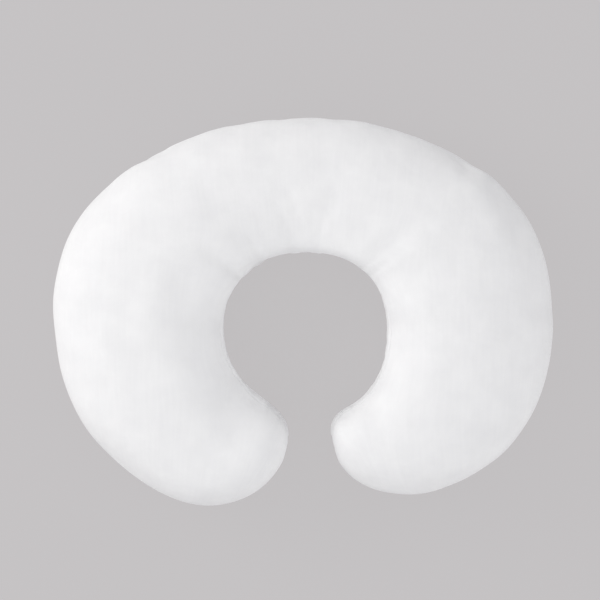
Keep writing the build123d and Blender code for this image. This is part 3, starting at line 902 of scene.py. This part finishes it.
def tubes(name, paths, radii, wound=False):
    """Capped tubes of one mesh along paths of points, with a radius for each point."""
    points, faces = [], []
    turns = (np.arange(TUBE_SIDES) * FULL_TURN / TUBE_SIDES)[None, :, None]
    for number, path in enumerate(paths):
        tangent = np.gradient(path, axis=0)
        tangent /= np.linalg.norm(tangent, axis=1, keepdims=True)
        reference = np.tile([0.0, 0.0, 1.0], (len(path), 1))
        if wound:  # a helix is upright somewhere, so it is measured from the zip's direction instead
            reference[:, 0], reference[:, 1] = path[:, 1] - BACK_CENTRE[1], BACK_CENTRE[0] - path[:, 0]
            reference[:, 2] = 0
        side = np.cross(tangent, reference)
        side /= np.linalg.norm(side, axis=1, keepdims=True)
        other = np.cross(side, tangent)
        ring = side[:, None] * np.cos(turns) + other[:, None] * np.sin(turns)
        points.append((path[:, None] + ring * radii[:, None, None]).reshape(-1, 3))
        faces += tube_faces(number * len(path) * TUBE_SIDES, len(path))
    return mesh_object(name, np.concatenate(points), faces)


COIL_PITCH, COIL_TURN_POINTS, FILAMENT_RADIUS = 1.32, 12, 0.27
COIL_MIDDLE, COIL_REACH = (-0.4, 1.75), (0.72, 0.92)  # n and t
COIL_SQUARENESS = 0.8  # below 1, a loop is squarer than round
HEAD_SWELL, HEAD_POWER = 0.3, 6  # the filament is squashed at each head
STITCH_PITCH, STITCH_LENGTH, STITCH_RADIUS = 2.8, 2.1, 0.2
STITCH_RISE, STITCH_SINK, STITCH_LIFT = 0.22, 0.12, 0.02
STITCH_SHAPE = np.array([0.35, 0.9, 1, 1, 0.9, 0.35])  # both its thickness and its rise
CLOSING_HALF_ANGLE, CLOSING_PITCH, CLOSING_RADIUS, CLOSING_RISE = 12.0, 4.0, 0.3, 0.25
CLOSING_REACH, CLOSING_SLANT = 0.12, 0.28  # rows and columns on either side of a stitch's middle


def coil(side, name):
    """One row of the zip's coil: a nylon filament wound round its cord."""
    arc = math.radians(2 * ZIP_HALF_ANGLE) * ZIP_RADIUS
    loops = int(arc / COIL_PITCH)
    turn = np.arange(loops * COIL_TURN_POINTS + 1) * FULL_TURN / COIL_TURN_POINTS
    along = (turn / FULL_TURN + side / 4) * COIL_PITCH  # the two rows' heads come by turns
    angle = -ZIP_HALF_ANGLE + np.degrees(along / ZIP_RADIUS)
    squared = np.sign(np.sin(turn)) * np.abs(np.sin(turn)) ** COIL_SQUARENESS
    n = COIL_MIDDLE[0] + COIL_REACH[0] * squared
    t = side * (COIL_MIDDLE[1] - COIL_REACH[1] * np.cos(turn))
    head = 1 + HEAD_SWELL * np.clip(np.cos(turn), 0, 1) ** HEAD_POWER
    piece = tubes(f"zip_filament_{name}", [by_zip(angle, n, t)], FILAMENT_RADIUS * head, wound=True)
    dress(piece, NYLON, "zip_coil", f"zip_coil_{name}")


def stitches(side, name):
    """The row of stitches that holds one tape to the cover."""
    half = ZIP_HALF_ANGLE + math.degrees(TAPE_END / ZIP_RADIUS)
    count = int(math.radians(2 * half) * ZIP_RADIUS / STITCH_PITCH)
    run = np.degrees(np.linspace(-0.5, 0.5, len(STITCH_SHAPE)) * STITCH_LENGTH / ZIP_RADIUS)
    sweep = side * TOPSTITCH_T / EDGE_ROUND
    wall = (EDGE_ROUND + STITCH_LIFT) * math.cos(sweep) - EDGE_ROUND
    n = wall - STITCH_SINK + STITCH_RISE * STITCH_SHAPE
    middles = -half + (np.arange(count) + 0.5) * 2 * half / count
    paths = [by_zip(middle + run, n, EDGE_ROUND * math.sin(sweep)) for middle in middles]
    piece = tubes(f"zip_stitches_{name}", paths, STITCH_RADIUS * STITCH_SHAPE)
    dress(piece, THREAD, "thread", f"zip_stitching_{name}")


for side, name in ((1, "upper"), (-1, "lower")):
    coil(side, name)
    stitches(side, name)


def closing_stitches():
    """The slanting stitches that close the casing where it was filled."""
    half = CLOSING_HALF_ANGLE
    count = int(math.radians(2 * half) * BACK_RADIUS / CLOSING_PITCH)
    run = np.linspace(-1, 1, len(STITCH_SHAPE))
    paths = []
    for k in range(count):
        row = row_at(-half + (k + 0.5) * 2 * half / count) + CLOSING_REACH * run
        column = CASING_OUTER_SEAM + (CLOSING_SLANT if k % 2 else -CLOSING_SLANT) * run
        face, out = surface(row, column)
        paths.append(face - out * (CASING_DEPTH - CLOSING_RISE * STITCH_SHAPE)[:, None])
    piece = tubes("casing_stitches", paths, CLOSING_RADIUS * STITCH_SHAPE)
    dress(piece, THREAD, "thread", "casing_closing_thread")


closing_stitches()

for name, finish in (
    ("zip_tape_upper", TWILL), ("zip_tape_lower", TWILL),
    ("zip_coil_core_upper", THREAD), ("zip_coil_core_lower", THREAD),
    ("zip_top_stops", NYLON), ("zip_bottom_stop", NYLON),
    ("zip_slider", LACQUER), ("zip_pull", LACQUER),
):
    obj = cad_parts[name]
    for slot in obj.material_slots:
        slot.material = finish

# ---------------------------------------------------------------- stage, light and camera
# The stage is in metres.
VIEW_WIDTH = 0.624  # at the height of the pillow's outline
LOOK_AT = Vector((-0.0021, 0.0120, 0.062))
CAMERA_HEIGHT, SENSOR_WIDTH = 1.9, 36
FLOOR_HALF, FLOOR_DROP = 60.0, 0.0005


def stage_floor():
    """A plain pale floor. It glows a little, so that its shadows stay faint."""
    made, tree, bsdf = material(
        "floor", (0.08, 0.078, 0.079), 1.0,
        Emission_Color=(0.484, 0.47, 0.476, 1), Emission_Strength=1.0, Specular_IOR_Level=0.0,
    )
    bump(tree, bsdf, (noise(tree, coordinates(tree, False), 300), 0.0001))
    corners = FLOOR_HALF * np.array([(-1, -1), (1, -1), (1, 1), (-1, 1)])
    places = np.column_stack([corners, np.full(4, -FLOOR_DROP)])
    floor = mesh_object("floor", places / MM, [(0, 1, 2, 3)])
    floor.data.materials.append(made)


def area_light(name, place, size, power, colour=(1, 1, 1)):
    """A square area light that faces the pillow."""
    light = bpy.data.lights.new(name, "AREA")
    light.shape, light.size, light.energy, light.color = "SQUARE", size, power, colour
    obj = bpy.data.objects.new(name, light)
    obj.location = place
    obj.rotation_mode = "QUATERNION"
    obj.rotation_quaternion = (LOOK_AT - Vector(place)).to_track_quat("-Z", "Y")
    bpy.context.scene.collection.objects.link(obj)


def studio():
    """A bright white tent with a soft key light from the left, seen from straight above."""
    scene = bpy.context.scene
    scene.view_settings.view_transform = "Standard"
    scene.world = bpy.data.worlds.new("studio")
    scene.world.use_nodes = True
    background = scene.world.node_tree.nodes["Background"]
    background.inputs["Color"].default_value = (0.985, 0.985, 1.0, 1)
    background.inputs["Strength"].default_value = 0.755
    area_light("key", (-2.1, 0.8, 1.2), size=1.6, power=25, colour=(1.0, 0.985, 0.965))
    area_light("fill", (1.9, -1.4, 0.45), size=1.6, power=9)
    area_light("front", (0.3, -1.5, 1.5), size=1.0, power=1.5)
    camera = bpy.data.cameras.new("camera")
    camera.sensor_width = SENSOR_WIDTH
    camera.lens = SENSOR_WIDTH * (CAMERA_HEIGHT - LOOK_AT.z) / VIEW_WIDTH
    camera.clip_end = 20
    obj = bpy.data.objects.new("camera", camera)
    obj.location = (LOOK_AT.x, LOOK_AT.y, CAMERA_HEIGHT)
    scene.collection.objects.link(obj)
    scene.camera = obj


stage_floor()
studio()
